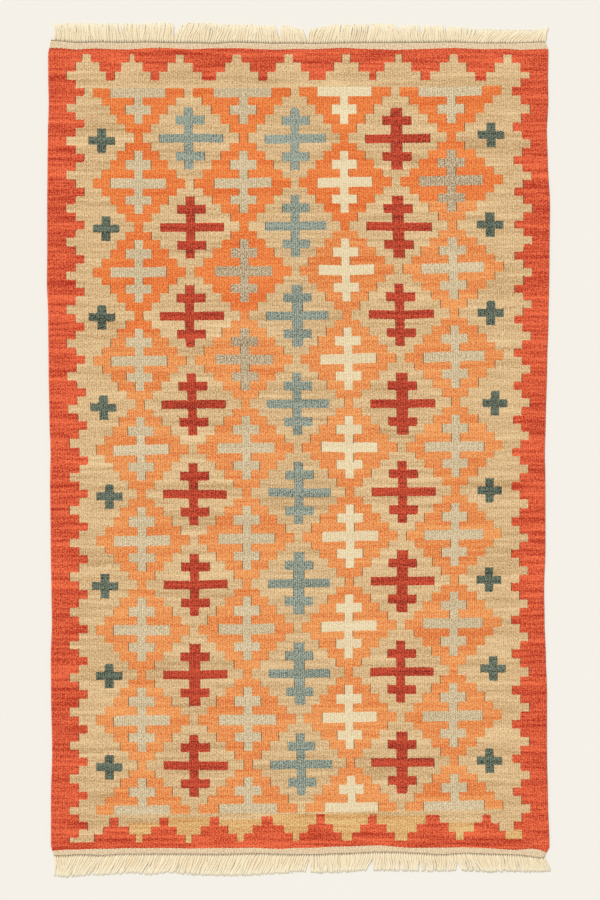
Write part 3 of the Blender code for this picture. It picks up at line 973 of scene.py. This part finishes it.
class Spool:
    """Collects many lengths of yarn into one mesh."""

    def __init__(self):
        self.spots = []
        self.faces = []
        self.places = []  # the ply map, one for each corner
        self.tones = []
        self.caps = []

    def run(self, path, radii, sides, tone=0.0, flat=1.0):
        """One closed length of yarn along a path. Flat below 1 makes it wider than high."""
        tones = np.broadcast_to(tone, len(path) - 1)
        way = np.gradient(path, axis=0)
        way /= np.linalg.norm(way, axis=1)[:, None]
        side = np.cross(way, (0.0, 0.0, 1.0))
        side /= np.linalg.norm(side, axis=1)[:, None]
        rise = flat * np.cross(side, way)
        gone = np.concatenate([[0.0], np.cumsum(np.linalg.norm(np.diff(path, axis=0), axis=1))])
        angles = 2 * math.pi * np.arange(sides)[:, None] / sides
        start = len(self.spots)
        for middle, radius, out, up in zip(path, radii, side, rise):
            ring = middle + radius * (np.cos(angles) * out + np.sin(angles) * up)
            self.spots.extend(ring.tolist())
        for i in range(len(path) - 1):
            here, there = start + i * sides, start + (i + 1) * sides
            for k in range(sides):
                after = (k + 1) % sides
                self.faces.append([here + k, there + k, there + after, here + after])
                for a, b in ((0, 0), (0, 1), (1, 1), (1, 0)):
                    self.places.append(((k + a) / sides, gone[i + b]))
        self.caps += [len(self.faces), len(self.faces) + 1]
        last = len(self.spots) - sides
        around = range(sides)
        for first, turn, far in ((start, around, gone[0]), (last, around[::-1], gone[-1])):
            self.faces.append([first + k for k in turn])
            self.places += [(k / sides, far) for k in turn]
        self.tones += [*np.repeat(tones, sides), tones[0], tones[-1]]

    def wind(self, name):
        """The finished mesh."""
        mesh = bpy.data.meshes.new(name)
        mesh.from_pydata(self.spots, [], self.faces)
        layer = mesh.uv_layers.new(name="ply")
        layer.data.foreach_set("uv", np.array(self.places, dtype=np.float32).reshape(-1))
        tones = mesh.attributes.new("tone", "FLOAT", "FACE")
        tones.data.foreach_set("value", np.array(self.tones, dtype=np.float32))
        smooth = np.ones(len(self.faces), dtype=bool)
        smooth[self.caps] = False
        mesh.polygons.foreach_set("use_smooth", smooth)
        mesh.update()
        return mesh


def end_edge(end):
    """One end of the cloth: the way out, its edge (m), its height, and its fringe's tables."""
    edge = read_outline()[end]
    if end == "head":
        return 1, edge, HEAD_END, HEAD_FRINGE, HEAD_PARTINGS
    return -1, edge, FOOT_END, FOOT_FRINGE, FOOT_PARTINGS


def root_span(sizes, table):
    """Where the first strand of a fringe is rooted, and from one strand to the next (m)."""
    return table[0][0] * MM, (table[-1][0] - table[0][0]) * MM / (sizes.strand_count - 1)


PIECE_GAP = 0.3
TWINE_HALF = 1.3
TWINE_STATIONS = 5  # from one crossing to the next
TWINE_SIDES = 5
PLY_TONES = (-0.1, 0.1)


def build_twine(sizes, end):
    """Two plies of grey yarn, twisted round each other so that they cross once at every strand."""
    way, edge, _, table, _ = end_edge(end)
    spool = Spool()
    left, right = edge[0, 0], edge[0, -1]
    first, pitch = root_span(sizes, table)
    stations = int((right - left) / pitch * TWINE_STATIONS)
    across = np.linspace(left, right, stations)
    middle = np.interp(across, *edge) + way * (PIECE_GAP + TWINE_HALF) * MM
    swing = TWINE_HALF * MM - sizes.twine_ply
    radii = np.full(stations, sizes.twine_ply)
    radii[[0, -1]] *= 0.5
    for start, tone in zip((0.0, math.pi), PLY_TONES):
        turn = math.pi * (across - first) / pitch + start
        along, up = middle + swing * np.cos(turn), TWINE_HALF * MM + swing * np.sin(turn)
        spool.run(np.stack([across, along, up], axis=-1), radii, TWINE_SIDES, tone)
    return spool.wind("twine_" + end)


STATIONS = 9  # along a strand
STRAND_SIDES = 6
GROUP_SIZE = (4, 18)
GROUP_LEAN = 3.0  # degrees
GROUP_BOW = 1.6
GROUP_WAVE = 1.0
BEND_POWER = 1.15
TAPER_POWER = 1.4
TIP_SHARE = 0.78  # of the strand's radius
# Painted light: how much paler a strand grows toward its tip, lifting the shade between the tips
TIP_PAINTED_LIGHT = 0.4
ARCH = (0.8, 1.6)  # how far the middle of an upper strand stands up
ROOT_RISE = 0.7
# The upper strands, and those that lie below them on the floor: how their lean varies (degrees),
# how far their tips are from the table's, their width as a share, their tone and their flatness
UPPER = {"lean": 2.0, "tips": (-2.8, 0.8), "widths": (0.9, 1.08), "tone": (0.05, 0.12), "flat": 0.6}
UNDER = {"lean": 5.0, "tips": (-4.0, 0.0), "widths": (1.15, 1.4), "tone": (0.0, 0.1), "flat": 0.42}
UNDER_STRANDS = 2  # between two upper strands
STRAND_BOW = 0.6
STRAND_WAVE = 0.5
WISP_CHANCE = 0.3


def build_fringe(sizes, end):
    """The cut warp ends: plied strands that lean in groups, over more that lie on the floor."""
    way, edge, body_end, table, partings = end_edge(end)
    rng = random.Random(SEED + way)
    spool = Spool()
    first, pitch = root_span(sizes, table)
    roots, tips, leans = np.array(table, dtype=float).T
    share = np.linspace(0.0, 1.0, STATIONS)
    layers = UNDER_STRANDS + 1
    group, lean_of_group, bow_of_group, wave_of_group = 0, 0.0, 0.0, 0.0
    for i in range(layers * (sizes.strand_count - 1) + 1):
        over = i % layers == 0
        kind = UPPER if over else UNDER
        root = first + pitch * (i + rng.uniform(-0.4, 0.4)) / layers
        if group == 0:
            group = rng.randint(*GROUP_SIZE)
            lean_of_group = rng.gauss(0.0, GROUP_LEAN)
            bow_of_group = rng.gauss(0.0, GROUP_BOW) * MM
            wave_of_group = rng.gauss(0.0, GROUP_WAVE) * MM
        group -= 1
        lean = np.interp(root / MM, roots, leans)
        lean += (lean_of_group if over else 0.0) + rng.gauss(0.0, kind["lean"])
        start = np.interp(root, *edge) + way * PIECE_GAP * MM
        if not over:
            start += way * 2 * TWINE_HALF * MM
        tip_out = np.interp(root / MM, roots, tips) + rng.uniform(*kind["tips"])
        reach = (body_end + way * tip_out) * MM - start
        tip = root + abs(reach) * math.tan(math.radians(lean))
        for middle, half in partings:
            aside = tip - middle * MM
            tip += math.copysign(half * MM, aside) * math.exp(-abs(aside) / (2 * half * MM))
        across = root + (tip - root) * share**BEND_POWER
        if over:
            bow = bow_of_group + rng.gauss(0.0, STRAND_BOW) * MM
            across += bow * np.sin(math.pi * share)
            wave = wave_of_group + rng.gauss(0.0, STRAND_WAVE) * MM
            across += wave * np.sin(2 * math.pi * share)
        radii = sizes.strand_radius * (1.0 - (1.0 - TIP_SHARE) * share**TAPER_POWER)
        radii *= rng.uniform(*kind["widths"])
        radii[0] *= 0.5
        up = kind["flat"] * radii
        if over:
            arch = rng.uniform(*ARCH) * MM * np.sin(math.pi * share)
            up += arch + ROOT_RISE * MM * (1 - share) ** 3
        path = np.stack([across, start + reach * share, up], axis=-1)
        # The tone paints light onto the strand toward its tip
        tone = rng.gauss(*kind["tone"]) + TIP_PAINTED_LIGHT * share[1:] ** 3
        spool.run(path, radii, STRAND_SIDES, tone, kind["flat"])
        if over and rng.random() < WISP_CHANCE:
            fray_wisp(spool, rng, path, radii)
    return spool.wind("fringe_yarns_" + end)


WISP_STATIONS = 4
WISP_RADIUS = 0.55
WISP_ASIDE = 2.2
WISP_REACH = (0.95, 1.1)


def fray_wisp(spool, rng, path, radii):
    """A fine wisp that has come loose from the end of a strand."""
    first = STATIONS - rng.choice([3, 4])
    share = np.linspace(0.0, 1.0, WISP_STATIONS)
    aside = rng.gauss(0.0, WISP_ASIDE) * MM
    spots = path[first] + (path[-1] - path[first]) * (share * rng.uniform(*WISP_REACH))[:, None]
    spots[:, 0] += aside * share**1.5
    spots[:, 2] = radii[first] + (0.5 * MM - radii[first]) * share
    spool.run(spots, WISP_RADIUS * MM * (1 - 0.6 * share), 3, 0.1)


# --- Operators ---


def place(mesh, name, material, slot, *nodes):
    """Show a finished mesh as a piece that stands for CAD nodes."""
    piece = bpy.data.objects.new(name, mesh)
    bpy.context.collection.objects.link(piece)
    mesh.materials.append(material)
    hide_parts(*nodes)
    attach(piece, "root")
    return piece


FLOOR_SIZE = 9.0  # m
ROOM_LIGHT = 0.655
SUN_STRENGTH = 1.53
SUN_WIDTH = 24.0  # degrees; the photo's shadows are soft
SUN_TILT = (-34.0, -30.0, 0.0)  # degrees
CAMERA_ACROSS = 1.6  # mm
CAMERA_HEIGHT = 6.0  # m
PICTURE_SPAN = 1.8054  # m of floor, from the top of the picture to its bottom
SENSOR = 36.0


class KILIM_OT_stage(bpy.types.Operator):
    """Lay a plain floor, hang the studio light and set the camera straight above the rug"""

    bl_idname = "kilim.stage"
    bl_label = "Set the stage"

    def execute(self, context):
        bpy.ops.object.select_all(action="DESELECT")
        bpy.ops.mesh.primitive_plane_add(size=FLOOR_SIZE, location=(0.0, 0.0, 0.0))
        floor = context.active_object
        floor.name = "plain_floor"
        floor.data.materials.append(floor_material())

        world = bpy.data.worlds.new("soft_room")
        world.use_nodes = True
        sky = world.node_tree.nodes["Background"]
        sky.inputs["Color"].default_value = (1.0, 1.0, 1.0, 1.0)
        sky.inputs["Strength"].default_value = ROOM_LIGHT
        context.scene.world = world
        bpy.ops.object.light_add(type="SUN", location=(-1.5, 1.5, 2.5))
        lamp = context.active_object
        lamp.name = "soft_key"
        lamp.data.energy = SUN_STRENGTH
        lamp.data.angle = math.radians(SUN_WIDTH)
        lamp.rotation_euler = [math.radians(turn) for turn in SUN_TILT]
        context.scene.view_settings.view_transform = "Standard"

        above = (CAMERA_ACROSS * MM, 0.0, CAMERA_HEIGHT)
        bpy.ops.object.camera_add(location=above, rotation=(0.0, 0.0, 0.0))
        camera = context.active_object
        camera.name = "camera_above"
        camera.data.sensor_width = SENSOR
        camera.data.lens = SENSOR * CAMERA_HEIGHT / PICTURE_SPAN
        camera.data.clip_end = 50.0
        context.scene.camera = camera
        return {"FINISHED"}


class KILIM_OT_cloth(bpy.types.Operator):
    """Weave the cloth with its whole pattern and its plain end bands"""

    bl_idname = "kilim.cloth"
    bl_label = "Weave the cloth"

    def execute(self, context):
        mesh = build_cloth(context.scene.kilim_sizes)
        place(mesh, "kilim_cloth", weave_material(), "kilim_weave", "rug_cloth")
        return {"FINISHED"}


class KILIM_OT_twine(bpy.types.Operator):
    """Twine the grey yarn across the warps at both ends"""

    bl_idname = "kilim.twine"
    bl_label = "Twine the end rows"

    def execute(self, context):
        sizes = context.scene.kilim_sizes
        grey = tuple(context.scene.kilim_colours.twine)
        pale = tuple(min(1.0, 1.35 * c) for c in grey)
        material = yarn_material("grey_wool_twine", grey, pale, TWINE_PLY_PITCH * MM)
        for end in ("head", "foot"):
            mesh = build_twine(sizes, end)
            place(mesh, "twine_" + end, material, "grey_twine", "twined_row_" + end)
        return {"FINISHED"}


class KILIM_OT_fringes(bpy.types.Operator):
    """Lay out the fringe of cut warp ends at the head and at the foot"""

    bl_idname = "kilim.fringes"
    bl_label = "Lay out the fringes"

    def execute(self, context):
        sizes = context.scene.kilim_sizes
        shades = context.scene.kilim_colours
        deep, pale = tuple(shades.fringe_deep), tuple(shades.fringe_pale)
        material = yarn_material("undyed_warp_yarn", deep, pale, WARP_PLY_PITCH * MM)
        for end in ("head", "foot"):
            mesh = build_fringe(sizes, end)
            place(mesh, "fringe_yarns_" + end, material, "warp_yarn", "fringe_" + end)
        return {"FINISHED"}


class KILIM_PT_panel(bpy.types.Panel):
    """The kilim's sizes, colours and steps"""

    bl_idname = "KILIM_PT_panel"
    bl_label = "Kilim rug"
    bl_space_type = "VIEW_3D"
    bl_region_type = "UI"
    bl_category = "Kilim"

    def draw(self, context):
        for group in (context.scene.kilim_sizes, context.scene.kilim_colours):
            for name in group.__annotations__:
                self.layout.prop(group, name)
        for operator in OPERATORS:
            self.layout.operator(operator.bl_idname)


OPERATORS = (KILIM_OT_stage, KILIM_OT_cloth, KILIM_OT_twine, KILIM_OT_fringes)
CLASSES = (KilimSizes, KilimColours, *OPERATORS, KILIM_PT_panel)


def register():
    for cls in CLASSES:
        bpy.utils.register_class(cls)
    bpy.types.Scene.kilim_sizes = bpy.props.PointerProperty(type=KilimSizes)
    bpy.types.Scene.kilim_colours = bpy.props.PointerProperty(type=KilimColours)


def unregister():
    del bpy.types.Scene.kilim_colours
    del bpy.types.Scene.kilim_sizes
    for cls in reversed(CLASSES):
        bpy.utils.unregister_class(cls)


def main():
    register()
    bpy.ops.kilim.stage()
    bpy.ops.kilim.cloth()
    bpy.ops.kilim.twine()
    bpy.ops.kilim.fringes()


if __name__ == "__main__":
    main()
